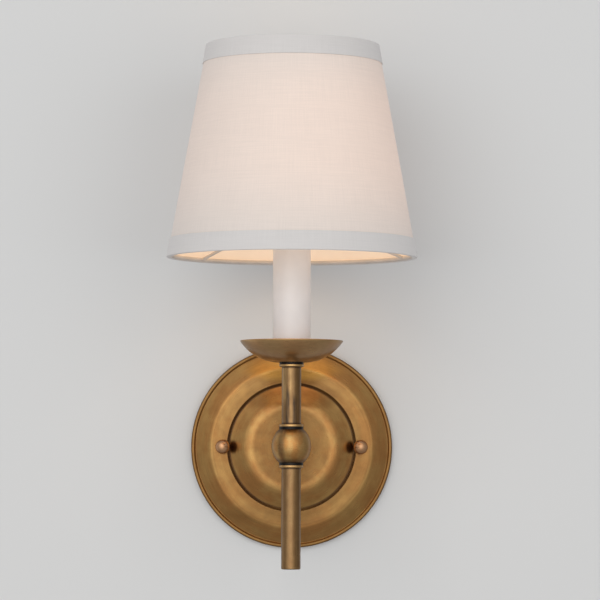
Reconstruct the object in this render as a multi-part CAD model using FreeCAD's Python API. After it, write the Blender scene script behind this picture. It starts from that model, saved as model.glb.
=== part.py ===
import FreeCAD, Part
import os
from math import acos, asin, atan2, cos, hypot, pi, sin, sqrt, tan

# Candle wall light with a fabric empire shade.
# Millimetres, +Z up, the wall is the plane Y = 0 and the light stands out towards -Y.
# The origin is the middle of the round backplate on the wall.

V = FreeCAD.Vector
UP = V(0, 0, 1)
DOWN = V(0, 0, -1)
OUT = V(0, -1, 0)
BACK = V(0, 1, 0)

# ---- fits shared by every piece
THREAD_GAP = 0.05        # radial play drawn between a thread and its nut
SLIP_GAP = 0.2           # radial play of a tube over the threaded rod
SEAT_GAP = 0.1           # play left where a lifted piece rests on another
PLATE_HOLE_GAP = 0.3     # radial play of a stud in the backplate
GLUE = 0.04              # between the fabric and its trims
SAME_POINT = 1e-6        # shorter runs are left out of an outline

# ---- lamp axis and threaded rods
REACH = 95.0             # from the wall to the lamp axis
ROD_D = 10.0             # lamp thread
ROD_BORE = 7.0           # wire way in the rod
ROD_TIP_GAP = 0.3        # between rod ends where they meet inside the ball

# ---- tubes and turned collars
TUBE_WALL = 0.8
COLLAR_NECK_RISE = 1.0   # collar neck over the tube
COLLAR_BEAD_RISE = 1.6   # collar bead over the tube
COLLAR_NECK = 1.7        # lengths along the axis
COLLAR_BEAD = 1.7
BEAD_CHAMFER = 0.4
DISH_NECK = 1.2
UPPER_TUBE = 35.1
LOWER_TUBE = 60.8
TAIL_CAP = 1.6
TAIL_CAP_RECESS = 0.8
TAIL_CAP_CHAMFER = 0.5

# ---- centre ball
BALL_D = 24.6
BALL_BELT = 1.3          # straight belt between its two halves
BALL_FLAT_EDGE = 0.1     # flat left round each collar

# ---- spun backplate: radius and depth of each feature from the wall
PLATE_D = 130.0
PLATE_WALL = 0.9
LIP_DEPTH = 4.0
LIP_WIDTH = 1.9
LIP_GROOVE = 0.9         # step down behind the lip
SLOPE_FOOT_R = 62.0
RIDGE_R = 50.6
RIDGE_DEPTH = 9.2
RIDGE_ROUND = 2.0
BAND_DEPTH = 9.6         # at its inner edge
BAND_R = 40.6
RING_GROOVE = 0.9
DOME_FOOT_R = 38.9
DOME_SHOULDER_R = 28.6
DOME_DEPTH = 15.5
DOME_ROUND = 6.0

# ---- wall strap and its hardware
STRAP_L = 108.0
STRAP_W = 20.0
STRAP_T = 1.6
STRAP_END_R = 4.0
STRAP_CENTRE_HOLE = 10.6
BOX_SCREW_SPACING = 69.85
BOX_SLOT_L = 10.0
BOX_SLOT_W = 4.6
STUD_SPACING = 88.9
STUD_D = 4.17
STUD_ENGAGE = 5.0        # stud length that stands out of the backplate
STUD_NUT_FLATS = 8.7
STUD_NUT_T = 2.4
GROUND_X = -18.0
GROUND_D = 4.8
GROUND_HEAD_D = 8.5
GROUND_HEAD_T = 2.2
GROUND_HEAD_CHAMFER = 0.8
GROUND_TIP = 0.4         # thread left behind the head inside the strap

# ---- ball nuts that clamp the backplate
BALL_NUT_D = 9.2
BALL_NUT_NECK_D = 6.4
BALL_NUT_NECK = 1.0
BALL_NUT_BORE = 6.2

# ---- nipple hardware inside the backplate
WASHER_D = 22.0
WASHER_T = 1.2
NUT_FLATS = 14.0
NUT_T = 3.0
NIPPLE_SPARE = 2.0       # thread left showing past a nut

# ---- drip dish
DISH_D = 64.0
DISH_DEPTH = 13.3
DISH_WALL = 0.8
DISH_STEPS = 6           # straight steps drawn along the bowl's arc

# ---- candle sleeve and the socket inside it
SLEEVE_D = 23.4
SLEEVE_WALL = 1.0
SLEEVE_L = 101.6
SOCKET_PLAY = 0.5        # radial, between socket and sleeve
SOCKET_L = 27.0
SOCKET_TOP_SINK = 0.6    # socket top below sleeve top
SOCKET_FLOOR = 5.0
SHELL_SINK = 0.8         # screw shell below the socket top
BRACKET_T = 1.0
BRACKET_W = 8.0
BRACKET_INSET = 0.5      # leg corners inside the sleeve bore
SHELL_WALL = 0.35
SHELL_L = 16.0
SHELL_PLAY = 0.2         # radial, between the shell and the bulb's cap
TONGUE_W = 4.0
TONGUE_T = 0.4

# ---- bulb
CAP_D = 11.9
CAP_L = 17.0
CAP_WALL = 0.3
CAP_FOOT_RISE = 1.6      # taper at the cap's foot
CAP_SOLDER_D = 4.5
CAP_SOLDER_T = 1.0
CAP_INSULATOR_T = 1.6
BULB_D = 35.0
BULB_GLASS = 0.8
BULB_NECK_D = 13.2
BULB_NECK_H = 2.6        # neck, belly and top of the glass above the cap's rim
BULB_BELLY_H = 32.8
BULB_GLASS_H = 78.0
BULB_TIP_R = 3.0
BULB_GLASS_SINK = 3.0    # glass held inside the cap

# ---- shade frame
FITTER_DROP = 37.3       # bottom edge of the shade below the fitter ring
FITTER_RING_BORE = 19.6
FITTER_RING_LAP = 1.4    # ring over the sleeve's edge, radial
FITTER_RING_T = 1.2
ARM_WIRE_D = 2.0
ARM_AZIMUTHS = (-50.0, 70.0, 190.0)   # from straight back, clockwise seen from above
ARM_RISE = 0.36          # slope of the long outer run
ARM_BEND_R = 34.0        # distance of the bend from the lamp axis
ARM_BEND_ROUND = 12.0
ARM_WELD_LAP = 0.4       # shares of its diameter that an arm lies over the fitter ring and above it
ARM_WELD_STAND = 0.05
FRAME_WIRE_D = 2.4
WIRE_SIDES = 8           # flats drawn round a wire

# ---- shade cover
SHADE_BOTTOM_D = 154.5
SHADE_TOP_D = 107.0
SHADE_H = 131.3
FABRIC_T = 0.5
LINER_T = 0.6
TRIM_T = 0.5
TRIM_W = 11.2

# ---- sizes that follow
ROD_R = ROD_D / 2
TUBE_R = ROD_R + SLIP_GAP + TUBE_WALL
BEAD_R = TUBE_R + COLLAR_BEAD_RISE
NECK_R = TUBE_R + COLLAR_NECK_RISE
COLLAR_L = COLLAR_NECK + COLLAR_BEAD
BALL_R = BALL_D / 2
BALL_FLAT_R = BEAD_R + BALL_FLAT_EDGE
BALL_SIDE_FLAT = sqrt(BALL_R ** 2 - BALL_FLAT_R ** 2)
BALL_END_FLAT = BALL_SIDE_FLAT + BALL_BELT / 2
ROD_STOP = ROD_R + ROD_TIP_GAP
STEM_TOP = BALL_END_FLAT + COLLAR_L + UPPER_TUBE
DISH_BASE = STEM_TOP + DISH_NECK + COLLAR_BEAD
DISH_FLOOR = DISH_BASE + DISH_WALL
PLATE_INSIDE = DOME_DEPTH - PLATE_WALL
SLEEVE_R = SLEEVE_D / 2
SLEEVE_BORE_R = SLEEVE_R - SLEEVE_WALL
SOCKET_R = SLEEVE_BORE_R - SOCKET_PLAY
SHELL_R = CAP_D / 2 + SHELL_PLAY + SHELL_WALL
SHADE_SLOPE = (SHADE_TOP_D - SHADE_BOTTOM_D) / 2 / SHADE_H


# ---- drawing helpers
def corner(before, here, after):
    """Where the arc on an outline's corner starts, its middle and its end, from (x, z, radius) points."""
    point = V(here[0], 0, here[1])
    if not here[2]:
        return point, point, point
    back = V(before[0], 0, before[1]) - point
    on = V(after[0], 0, after[1]) - point
    back.normalize()
    on.normalize()
    half = acos(max(-1.0, min(1.0, back.dot(on)))) / 2
    to_centre = back + on
    to_centre.normalize()
    reach = here[2] / tan(half)
    return point + back * reach, point + to_centre * (here[2] / sin(half) - here[2]), point + on * reach


def joined(runs, closed):
    """A wire of lines between (start, middle, end) corners, with an arc through each."""
    edges = []
    for i, (start, middle, end) in enumerate(runs):
        last = runs[i - 1][2]
        if (i or closed) and (start - last).Length > SAME_POINT:
            edges.append(Part.LineSegment(last, start).toShape())
        if (end - start).Length > SAME_POINT:
            edges.append(Part.Arc(start, middle, end).toShape())
    return Part.Wire(edges)


def rounded(points):
    """A closed wire in the XZ plane through (x, z, corner radius) points, each radius a tangent arc."""
    count = len(points)
    return joined([corner(points[i - 1], points[i], points[(i + 1) % count]) for i in range(count)], True)


def rounded_path(points):
    """The same, left open between its first and last points, which have no radius."""
    ends = [corner(None, points[i], None) for i in (0, -1)]
    turns = [corner(*points[i - 1:i + 2]) for i in range(1, len(points) - 1)]
    return joined([ends[0]] + turns + [ends[1]], False)


def sheet(points, wall):
    """The outline of a sheet of even thickness: the (x, z, corner radius) points are its face,
    and its back lies one wall to the right of the way they run."""
    back = []
    for i, (x, z, r) in enumerate(points):
        normals = []
        ways = []
        for a, b in ((i - 1, i), (i, i + 1)):
            if a < 0 or b >= len(points):
                continue
            dx, dz = points[b][0] - points[a][0], points[b][1] - points[a][1]
            length = hypot(dx, dz)
            normals.append((dz / length, -dx / length))
            ways.append((dx, dz))
        nx, nz = sum(n[0] for n in normals), sum(n[1] for n in normals)
        size = hypot(nx, nz)
        nx, nz = nx / size, nz / size
        step = wall / (nx * normals[0][0] + nz * normals[0][1])
        if r and len(ways) == 2:
            left_turn = ways[0][0] * ways[1][1] - ways[0][1] * ways[1][0] > 0
            r = r + wall if left_turn else max(r - wall, 0)
        back.append((x + nx * step, z + nz * step, r))
    return list(points) + back[::-1]


def put(shape, seat, direction):
    """Turns a piece drawn along +Z to lie along a direction, with its zero at the seat."""
    shape.Placement = FreeCAD.Placement(seat, FreeCAD.Rotation(UP, direction))
    return shape


def turned(points, seat=V(0, 0, 0), direction=UP):
    """A solid of revolution from its half section: (radius, height, corner radius) points."""
    half = Part.Face(rounded(points))
    return put(half.revolve(V(0, 0, 0), UP, 360), seat, direction)


def barrel(r, length, bore=0.0, seat=V(0, 0, 0), direction=UP):
    """A cylinder, with a bore if asked."""
    return turned([(bore, 0, 0), (r, 0, 0), (r, length, 0), (bore, length, 0)], seat, direction)


def hex_nut(flats, thick, hole_r, seat, direction):
    """A six-sided nut with its corners turned off."""
    corner_r = flats / sqrt(3)
    corners = [V(corner_r * cos(i * pi / 3), corner_r * sin(i * pi / 3), 0) for i in range(7)]
    prism = Part.Face(Part.makePolygon(corners)).extrude(V(0, 0, thick))
    chamfer = (corner_r - flats / 2) / 2
    turned_body = turned([(hole_r, 0, 0), (corner_r - chamfer, 0, 0), (corner_r, chamfer, 0),
                          (corner_r, thick - chamfer, 0), (corner_r - chamfer, thick, 0),
                          (hole_r, thick, 0)])
    return put(prism.common(turned_body), seat, direction)


def stem(z):
    """The point at a height on the lamp axis."""
    return V(0, -REACH, z)


def wall_point(x, depth, z=0.0):
    """A point by its place on the wall and its distance out from it."""
    return V(x, -depth, z)


def collar(neck, seat, direction):
    """A turned collar: its narrow neck seats on the ball, plate or dish, its bead on the tube."""
    bore = ROD_R + THREAD_GAP
    top = neck + COLLAR_BEAD
    return turned([(bore, 0, 0), (NECK_R, 0, 0), (NECK_R, neck, 0), (BEAD_R, neck + BEAD_CHAMFER, 0),
                   (BEAD_R, top - BEAD_CHAMFER, 0), (BEAD_R - BEAD_CHAMFER, top, 0), (bore, top, 0)],
                  seat, direction)


def wire_corners(r, z, d):
    """The corners of a wire's section about a point, with flats at its top, bottom and sides."""
    reach = d / 2 / cos(pi / WIRE_SIDES)
    turns = [2 * pi * (i + 0.5) / WIRE_SIDES for i in range(WIRE_SIDES)]
    return [(r + reach * cos(turn), z + reach * sin(turn), 0) for turn in turns]


# ---- arm and stem
def centre_ball():
    """The ball, with a flat and a threaded hole for each rod and wire ways that meet inside."""
    half_h = BALL_R + BALL_BELT / 2
    ball = turned([(0, -half_h, 0), (BALL_R, -half_h, BALL_R), (BALL_R, half_h, BALL_R), (0, half_h, 0)])
    keep = Part.makeBox(BALL_D * 2, BALL_R + BALL_SIDE_FLAT, BALL_END_FLAT * 2,
                        V(-BALL_D, -BALL_R, -BALL_END_FLAT))
    ball = ball.common(keep)
    for way in (UP, DOWN, BACK):
        ball = ball.cut(barrel(ROD_BORE / 2, BALL_D, direction=way))
        start = V(way) * ROD_STOP
        ball = ball.cut(barrel(ROD_R + THREAD_GAP, BALL_D, seat=start, direction=way))
    ball.translate(stem(0))
    return ball


def threaded_rod(seat, direction, length):
    """A length of hollow lamp rod."""
    return barrel(ROD_R, length, ROD_BORE / 2, seat, direction)


def arm():
    """The level arm from the backplate to the ball."""
    plate_seat = V(0, -DOME_DEPTH, 0)
    ball_seat = V(0, -REACH + BALL_SIDE_FLAT, 0)
    tube_l = REACH - BALL_SIDE_FLAT - DOME_DEPTH - 2 * COLLAR_L
    washer_y = -PLATE_INSIDE
    nut_y = washer_y + WASHER_T
    nipple_end = nut_y + NUT_T + NIPPLE_SPARE
    tip = -REACH + ROD_STOP
    return {
        "arm_rear_collar": collar(COLLAR_NECK, plate_seat, OUT),
        "arm_front_collar": collar(COLLAR_NECK, ball_seat, BACK),
        "arm_tube": barrel(TUBE_R, tube_l, TUBE_R - TUBE_WALL, plate_seat + OUT * COLLAR_L, OUT),
        "arm_nipple": threaded_rod(V(0, tip, 0), BACK, nipple_end - tip),
        "arm_washer": barrel(WASHER_D / 2, WASHER_T, ROD_R + THREAD_GAP, V(0, washer_y, 0), BACK),
        "arm_lock_nut": hex_nut(NUT_FLATS, NUT_T, ROD_R + THREAD_GAP, V(0, nut_y, 0), BACK),
    }


def column():
    """The upright stem below the dish, with the tail that hangs under the ball."""
    end = BALL_END_FLAT
    tail = end + COLLAR_L + LOWER_TUBE
    rod_top = DISH_FLOOR + NUT_T + BRACKET_T + NIPPLE_SPARE
    cap = turned([(0, 0, 0), (TUBE_R - TAIL_CAP_CHAMFER, 0, 0), (TUBE_R, TAIL_CAP_CHAMFER, 0),
                  (TUBE_R, TAIL_CAP, 0), (ROD_R + THREAD_GAP, TAIL_CAP, 0),
                  (ROD_R + THREAD_GAP, TAIL_CAP - TAIL_CAP_RECESS, 0),
                  (0, TAIL_CAP - TAIL_CAP_RECESS, 0)], stem(-tail - TAIL_CAP))
    return {
        "upper_collar": collar(COLLAR_NECK, stem(end), UP),
        "lower_collar": collar(COLLAR_NECK, stem(-end), DOWN),
        "upper_tube": barrel(TUBE_R, UPPER_TUBE, TUBE_R - TUBE_WALL, stem(end + COLLAR_L)),
        "lower_tube": barrel(TUBE_R, LOWER_TUBE, TUBE_R - TUBE_WALL, stem(-end - COLLAR_L), DOWN),
        "dish_collar": collar(DISH_NECK, stem(DISH_BASE), DOWN),
        "upper_rod": threaded_rod(stem(ROD_STOP), UP, rod_top - ROD_STOP),
        "lower_rod": threaded_rod(stem(-ROD_STOP), DOWN, tail + TAIL_CAP_RECESS - ROD_STOP),
        "tail_cap": cap,
    }


# ---- wall side
def plate_face():
    """The front of the backplate, from the wall edge to the centre hole: (radius, depth, corner)."""
    rim = PLATE_D / 2
    ring_floor = BAND_DEPTH - RING_GROOVE
    return [
        (rim, 0, 0),
        (rim, LIP_DEPTH, 0),
        (rim - LIP_WIDTH, LIP_DEPTH, 0),
        (SLOPE_FOOT_R, LIP_DEPTH - LIP_GROOVE, 0),
        (RIDGE_R, RIDGE_DEPTH, RIDGE_ROUND),
        (BAND_R, BAND_DEPTH, 0),
        (DOME_FOOT_R, ring_floor, 0),
        (DOME_SHOULDER_R, DOME_DEPTH, DOME_ROUND),
        (ROD_R + SLIP_GAP, DOME_DEPTH, 0),
    ]


def band_depth(r):
    """How far the flat band of the backplate stands out at a radius."""
    return RIDGE_DEPTH + (BAND_DEPTH - RIDGE_DEPTH) * (RIDGE_R - r) / (RIDGE_R - BAND_R)


def nut_face():
    """The depth of the ball nut's seat, on the highest point of the band under the nut."""
    return band_depth(STUD_SPACING / 2 - BALL_NUT_NECK_D / 2)


def backplate():
    """One spun sheet, open to the wall, with a hole for the nipple and one for each stud."""
    outline = sheet(plate_face()[::-1], PLATE_WALL)
    plate = turned(outline, V(0, 0, 0), OUT)
    for side in (-1, 1):
        hole = barrel(STUD_D / 2 + PLATE_HOLE_GAP, 2 * DOME_DEPTH,
                      seat=wall_point(side * STUD_SPACING / 2, 0), direction=OUT)
        plate = plate.cut(hole)
    return plate


def slot_cut(x, length, width):
    """A slot along X through the strap."""
    half = (length - width) / 2
    body = Part.makeBox(2 * half, 3 * STRAP_T, width, V(x - half, -2 * STRAP_T, -width / 2))
    for side in (-1, 1):
        seat = wall_point(x + side * half, -STRAP_T)
        body = body.fuse(barrel(width / 2, 3 * STRAP_T, seat=seat, direction=OUT))
    return body


def mounting_strap():
    """The flat steel bar that screws to the wall box."""
    half_l, half_w = STRAP_L / 2, STRAP_W / 2
    corners = [(-half_l, -half_w), (half_l, -half_w), (half_l, half_w), (-half_l, half_w)]
    bar = Part.Face(rounded([(x, z, STRAP_END_R) for x, z in corners])).extrude(OUT * STRAP_T)
    holes = [(0, STRAP_CENTRE_HOLE / 2), (GROUND_X, GROUND_D / 2 + THREAD_GAP)]
    holes += [(side * STUD_SPACING / 2, STUD_D / 2 + THREAD_GAP) for side in (-1, 1)]
    for x, r in holes:
        bar = bar.cut(barrel(r, 3 * STRAP_T, seat=wall_point(x, -STRAP_T), direction=OUT))
    for side in (-1, 1):
        bar = bar.cut(slot_cut(side * BOX_SCREW_SPACING / 2, BOX_SLOT_L, BOX_SLOT_W))
    return bar


def strap_hardware():
    """Studs, their lock nuts and the earth screw."""
    studs, nuts = [], []
    for side in (-1, 1):
        x = side * STUD_SPACING / 2
        studs.append(barrel(STUD_D / 2, nut_face() + STUD_ENGAGE, seat=wall_point(x, 0),
                            direction=OUT))
        nuts.append(hex_nut(STUD_NUT_FLATS, STUD_NUT_T, STUD_D / 2 + THREAD_GAP,
                            wall_point(x, STRAP_T), OUT))
    head_r, head_z = GROUND_HEAD_D / 2, STRAP_T - GROUND_TIP
    head_top = head_z + GROUND_HEAD_T
    screw = turned([(0, 0, 0), (GROUND_D / 2, 0, 0), (GROUND_D / 2, head_z, 0), (head_r, head_z, 0),
                    (head_r, head_top - GROUND_HEAD_CHAMFER, 0),
                    (head_r - GROUND_HEAD_CHAMFER, head_top, 0), (0, head_top, 0)],
                   wall_point(GROUND_X, GROUND_TIP), OUT)
    return {
        "mounting_studs": Part.makeCompound(studs),
        "stud_nuts": Part.makeCompound(nuts),
        "ground_screw": screw,
    }


def ball_nut(side):
    """A small ball with a flat neck and a blind threaded bore."""
    r, neck_r = BALL_NUT_D / 2, BALL_NUT_NECK_D / 2
    centre = BALL_NUT_NECK + sqrt(r ** 2 - neck_r ** 2)
    bore_r = STUD_D / 2 + THREAD_GAP
    below = asin((centre - BALL_NUT_NECK) / r)
    middle = (pi / 2 - below) / 2
    arc = Part.Arc(V(neck_r, 0, BALL_NUT_NECK), V(r * cos(middle), 0, centre + r * sin(middle)),
                   V(0, 0, centre + r)).toShape()
    corners = [V(0, 0, centre + r), V(0, 0, BALL_NUT_BORE), V(bore_r, 0, BALL_NUT_BORE),
               V(bore_r, 0, 0), V(neck_r, 0, 0), V(neck_r, 0, BALL_NUT_NECK)]
    sides = [Part.LineSegment(a, b).toShape() for a, b in zip(corners, corners[1:])]
    nut = Part.Face(Part.Wire([arc] + sides)).revolve(V(0, 0, 0), UP, 360)
    return put(nut, wall_point(side * STUD_SPACING / 2, nut_face()), OUT)


# ---- dish, candle and socket
def dish_face():
    """The underside of the dish from its centre hole to its rim: flat over the collar, then along an arc."""
    flat = BEAD_R + BALL_FLAT_EDGE
    run = DISH_D / 2 - flat
    bend = (run ** 2 + DISH_DEPTH ** 2) / (2 * DISH_DEPTH)
    turns = [asin(run / bend) * step / DISH_STEPS for step in range(DISH_STEPS + 1)]
    return [(ROD_R + THREAD_GAP, 0, 0)] + [(flat + bend * sin(turn), bend * (1 - cos(turn)), 0)
                                           for turn in turns]


def dish_outline():
    """The half section of the dish, its wall measured inwards from the underside."""
    return sheet(dish_face()[::-1], DISH_WALL)


def dish_inside(r):
    """The height of the dish's inner face at a radius from the lamp axis."""
    inner = dish_outline()[len(dish_face()):]
    for (r0, z0, _), (r1, z1, _) in zip(inner, inner[1:]):
        if r0 <= r <= r1:
            return DISH_BASE + z0 + (z1 - z0) * (r - r0) / (r1 - r0)
    return DISH_BASE + inner[-1][1]


def drip_dish():
    """A shallow spun bowl."""
    return turned(dish_outline(), stem(DISH_BASE))


def sleeve_seat():
    """The height where the candle sleeve stands in the dish."""
    return dish_inside(SLEEVE_R)


def sleeve_top():
    return sleeve_seat() + SLEEVE_L


def candle():
    """The sleeve with the bracket and lampholder inside it."""
    top = sleeve_top() - SOCKET_TOP_SINK
    socket_base = top - SOCKET_L
    foot = DISH_FLOOR + NUT_T
    leg_reach = sqrt((SLEEVE_BORE_R - BRACKET_INSET) ** 2 - (BRACKET_W / 2) ** 2)
    frame_h = socket_base - foot
    bracket = Part.makeBox(2 * leg_reach, BRACKET_W, frame_h, V(-leg_reach, -BRACKET_W / 2, 0))
    window = Part.makeBox(2 * (leg_reach - BRACKET_T), 2 * BRACKET_W, frame_h - 2 * BRACKET_T,
                          V(-(leg_reach - BRACKET_T), -BRACKET_W, BRACKET_T))
    bracket = bracket.cut(window)
    pad = barrel(SOCKET_R - SOCKET_PLAY, BRACKET_T)
    bracket = bracket.fuse(pad).cut(barrel(ROD_R + THREAD_GAP, BRACKET_T * 3, seat=V(0, 0, -BRACKET_T)))
    bracket = bracket.removeSplitter()
    bracket.translate(stem(foot))
    bore = SHELL_R + THREAD_GAP
    body = turned([(0, 0, 0), (SOCKET_R, 0, 0), (SOCKET_R, SOCKET_L, 0), (bore, SOCKET_L, 0),
                   (bore, SOCKET_FLOOR, 0), (0, SOCKET_FLOOR, 0)], stem(socket_base))
    shell = barrel(SHELL_R, SHELL_L, SHELL_R - SHELL_WALL, stem(top - SHELL_L - SHELL_SINK))
    floor = socket_base + SOCKET_FLOOR
    tongue_top = bulb_base() - SEAT_GAP
    rise = tongue_top - floor
    side = -TONGUE_W / 2
    foot_pad = Part.makeBox(TONGUE_W, TONGUE_W, TONGUE_T, V(side, side, 0))
    post = Part.makeBox(TONGUE_T, TONGUE_W, rise, V(side, side, 0))
    spring = Part.makeBox(TONGUE_W, TONGUE_W, TONGUE_T, V(side, side, rise - TONGUE_T))
    contact = foot_pad.fuse([post, spring]).removeSplitter()
    contact.translate(stem(floor))
    return {
        "candle_sleeve": barrel(SLEEVE_R, SLEEVE_L, SLEEVE_BORE_R, stem(sleeve_seat())),
        "dish_lock_nut": hex_nut(NUT_FLATS, NUT_T, ROD_R + THREAD_GAP, stem(DISH_FLOOR), UP),
        "socket_bracket": bracket,
        "socket_body": body,
        "socket_shell": shell,
        "socket_contact": contact,
    }


# ---- bulb
def bulb_base():
    """The height of the bulb's solder contact; the cap's rim stops level with the socket top."""
    return sleeve_top() - SOCKET_TOP_SINK - CAP_L


def glass_curve(inset):
    """The candle bulb's outline, moved inwards by an inset: a held neck, a cone out to the belly's sphere,
    a longer cone in from there, and the tip's own sphere, each tangent to the next."""
    belly, tip = BULB_D / 2 - inset, BULB_TIP_R - inset
    tip_z = BULB_GLASS_H - BULB_TIP_R
    held = CAP_D / 2 - CAP_WALL - THREAD_GAP - inset
    neck = BULB_NECK_D / 2 - inset
    drop = BULB_BELLY_H - BULB_NECK_H
    low = acos(belly / hypot(neck, drop)) - atan2(drop, neck)
    high = asin((belly - tip) / (tip_z - BULB_BELLY_H))

    def on(r, z, angle):
        return V(r * cos(angle), 0, z + r * sin(angle))

    belly_start, belly_middle, belly_end = (on(belly, BULB_BELLY_H, turn) for turn in
                                            (low, (low + high) / 2, high))
    tip_start, tip_middle, tip_end = (on(tip, tip_z, turn) for turn in (high, (high + pi / 2) / 2, pi / 2))
    neck_line = [V(held, 0, -BULB_GLASS_SINK), V(held, 0, 0), V(neck, 0, BULB_NECK_H), belly_start]
    lines = [Part.LineSegment(*ends).toShape() for ends in zip(neck_line, neck_line[1:])]
    upper = [Part.Arc(belly_start, belly_middle, belly_end).toShape(),
             Part.LineSegment(belly_end, tip_start).toShape(),
             Part.Arc(tip_start, tip_middle, V(0, 0, tip_end.z)).toShape()]
    return lines + upper


def bulb():
    """Screw cap, contact and frosted glass."""
    base = bulb_base()
    rim = base + CAP_L
    cap_r = CAP_D / 2
    foot = CAP_SOLDER_T + CAP_INSULATOR_T
    cap = turned(sheet([(cap_r, CAP_L, 0), (cap_r, foot + CAP_FOOT_RISE, 0),
                        (CAP_SOLDER_D / 2 + CAP_WALL, foot, 0)], CAP_WALL), stem(base))
    insulator = turned([(0, CAP_SOLDER_T, 0), (CAP_SOLDER_D / 2, CAP_SOLDER_T, 0),
                        (CAP_SOLDER_D / 2 + CAP_WALL, CAP_SOLDER_T + CAP_INSULATOR_T, 0),
                        (0, CAP_SOLDER_T + CAP_INSULATOR_T, 0)], stem(base))
    contact = barrel(CAP_SOLDER_D / 2, CAP_SOLDER_T, seat=stem(base))
    return {
        "bulb_cap": cap,
        "bulb_insulator": insulator,
        "bulb_contact": contact,
        "bulb_glass": bulb_glass(rim),
    }


def bulb_glass(rim):
    """The blown glass, open at the neck where the cap holds it."""
    outer, inner = glass_curve(0), glass_curve(BULB_GLASS)
    held = CAP_D / 2 - CAP_WALL - THREAD_GAP
    mouth = [V(held, 0, -BULB_GLASS_SINK), V(held - BULB_GLASS, 0, -BULB_GLASS_SINK)]
    tip = [V(0, 0, BULB_GLASS_H), V(0, 0, BULB_GLASS_H - BULB_GLASS)]
    ends = [Part.LineSegment(*points).toShape() for points in (mouth, tip)]
    wire = Part.Wire(Part.__sortEdges__(outer + inner + ends))
    return put(Part.Face(wire).revolve(V(0, 0, 0), UP, 360), stem(rim), UP)


# ---- shade
def shade_bottom():
    return sleeve_top() - FITTER_DROP


def cover_r(height):
    """The fabric's outer radius at a height over the shade's bottom edge."""
    return SHADE_BOTTOM_D / 2 + SHADE_SLOPE * height


def cone_layer(inset, thick):
    """A thin cone between the edges of the shade, with its outer face inset from the fabric's face."""
    def ring(height, depth):
        return (cover_r(height) - depth, height, 0)
    outline = [ring(0, inset), ring(SHADE_H, inset), ring(SHADE_H, inset + thick),
               ring(0, inset + thick)]
    return turned(outline, stem(shade_bottom()))


def wire_ring_r(height):
    """The radius of a frame ring's centre line, just inside the liner."""
    reach = FRAME_WIRE_D / 2 * (1 - SHADE_SLOPE * tan(pi / WIRE_SIDES))
    return cover_r(height) - FABRIC_T - LINER_T - GLUE - reach


def trim(at_top):
    """A folded band over one edge: up the outside, and across the edge to the frame ring."""
    edge, way = (SHADE_H, -1) if at_top else (0, 1)
    inner_end = wire_ring_r(edge + way * FRAME_WIRE_D / 2)
    fold = edge - way * TRIM_T
    far = edge + way * TRIM_W
    outline = [
        (cover_r(edge) + GLUE, edge, 0),
        (cover_r(far) + GLUE, far, 0),
        (cover_r(far) + GLUE + TRIM_T, far, 0),
        (cover_r(fold) + GLUE + TRIM_T, fold, 0),
        (inner_end, fold, 0),
        (inner_end, edge, 0),
    ]
    return turned(outline, stem(shade_bottom()))


def frame_ring(height):
    """A wire ring of the shade's frame."""
    return turned(wire_corners(wire_ring_r(height), height, FRAME_WIRE_D), stem(shade_bottom()))


def fitter():
    """The flat ring that rests on the candle sleeve, and the bent arms welded from it to the bottom ring."""
    bottom_ring = frame_ring(FRAME_WIRE_D / 2)
    ring_r = SLEEVE_R + FITTER_RING_LAP
    ring = barrel(ring_r, FITTER_RING_T, FITTER_RING_BORE / 2, stem(shade_bottom() + FITTER_DROP))
    start_z = FRAME_WIRE_D / 2
    start_r = wire_ring_r(start_z)
    bend_z = start_z + (start_r - ARM_BEND_R) * ARM_RISE
    end_r = ring_r - ARM_WIRE_D * ARM_WELD_LAP
    end_z = FITTER_DROP + FITTER_RING_T + ARM_WIRE_D * ARM_WELD_STAND
    path = rounded_path([(start_r, start_z, 0), (ARM_BEND_R, bend_z, ARM_BEND_ROUND), (end_r, end_z, 0)])
    way = path.Edges[0].tangentAt(path.Edges[0].FirstParameter)
    section = Part.makePolygon([V(x, y, 0) for x, y, _ in wire_corners(0, 0, ARM_WIRE_D)], True)
    section.Placement = FreeCAD.Placement(V(start_r, 0, start_z), FreeCAD.Rotation(UP, way))
    straight_arm = path.makePipeShell([section], True, False)
    arms = []
    for azimuth in ARM_AZIMUTHS:
        arm_solid = straight_arm.copy()
        arm_solid.rotate(V(0, 0, 0), UP, 90 - azimuth)
        arm_solid.translate(stem(shade_bottom()))
        arms += arm_solid.cut(bottom_ring).cut(ring).Solids
    return {"bottom_ring": bottom_ring, "fitter_arms": Part.makeCompound(arms), "fitter_ring": ring}


def shade():
    """Frame, liner, fabric and trims."""
    return fitter() | {
        "top_ring": frame_ring(SHADE_H - FRAME_WIRE_D / 2),
        "shade_fabric": cone_layer(0, FABRIC_T),
        "shade_liner": cone_layer(FABRIC_T, LINER_T),
        "top_trim": trim(True),
        "bottom_trim": trim(False),
    }


def build():
    """Every piece by its name."""
    pieces = {"mounting_strap": mounting_strap(), "backplate": backplate(),
              "centre_ball": centre_ball(), "drip_dish": drip_dish(),
              "left_ball_nut": ball_nut(-1), "right_ball_nut": ball_nut(1)}
    for group in (strap_hardware(), arm(), column(), candle(), bulb(), shade()):
        pieces.update(group)
    return pieces


def main():
    os.makedirs("parts", exist_ok=True)
    for name, shape in build().items():
        if not shape.isValid():
            print("not valid:", name)
        shape.exportStep(os.path.join("parts", name + ".step"))
        box = shape.BoundBox
        print(f"{name:18s} solids {len(shape.Solids)} volume {shape.Volume:10.1f} "
              f"x {box.XMin:7.2f} {box.XMax:7.2f} y {box.YMin:8.2f} {box.YMax:7.2f} "
              f"z {box.ZMin:7.2f} {box.ZMax:7.2f}")


main()
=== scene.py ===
from math import acos, atan2, cos, hypot, pi, radians, sin, sqrt, tan

import bmesh
import bpy
import numpy as np
from mathutils import Matrix, Vector


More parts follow.
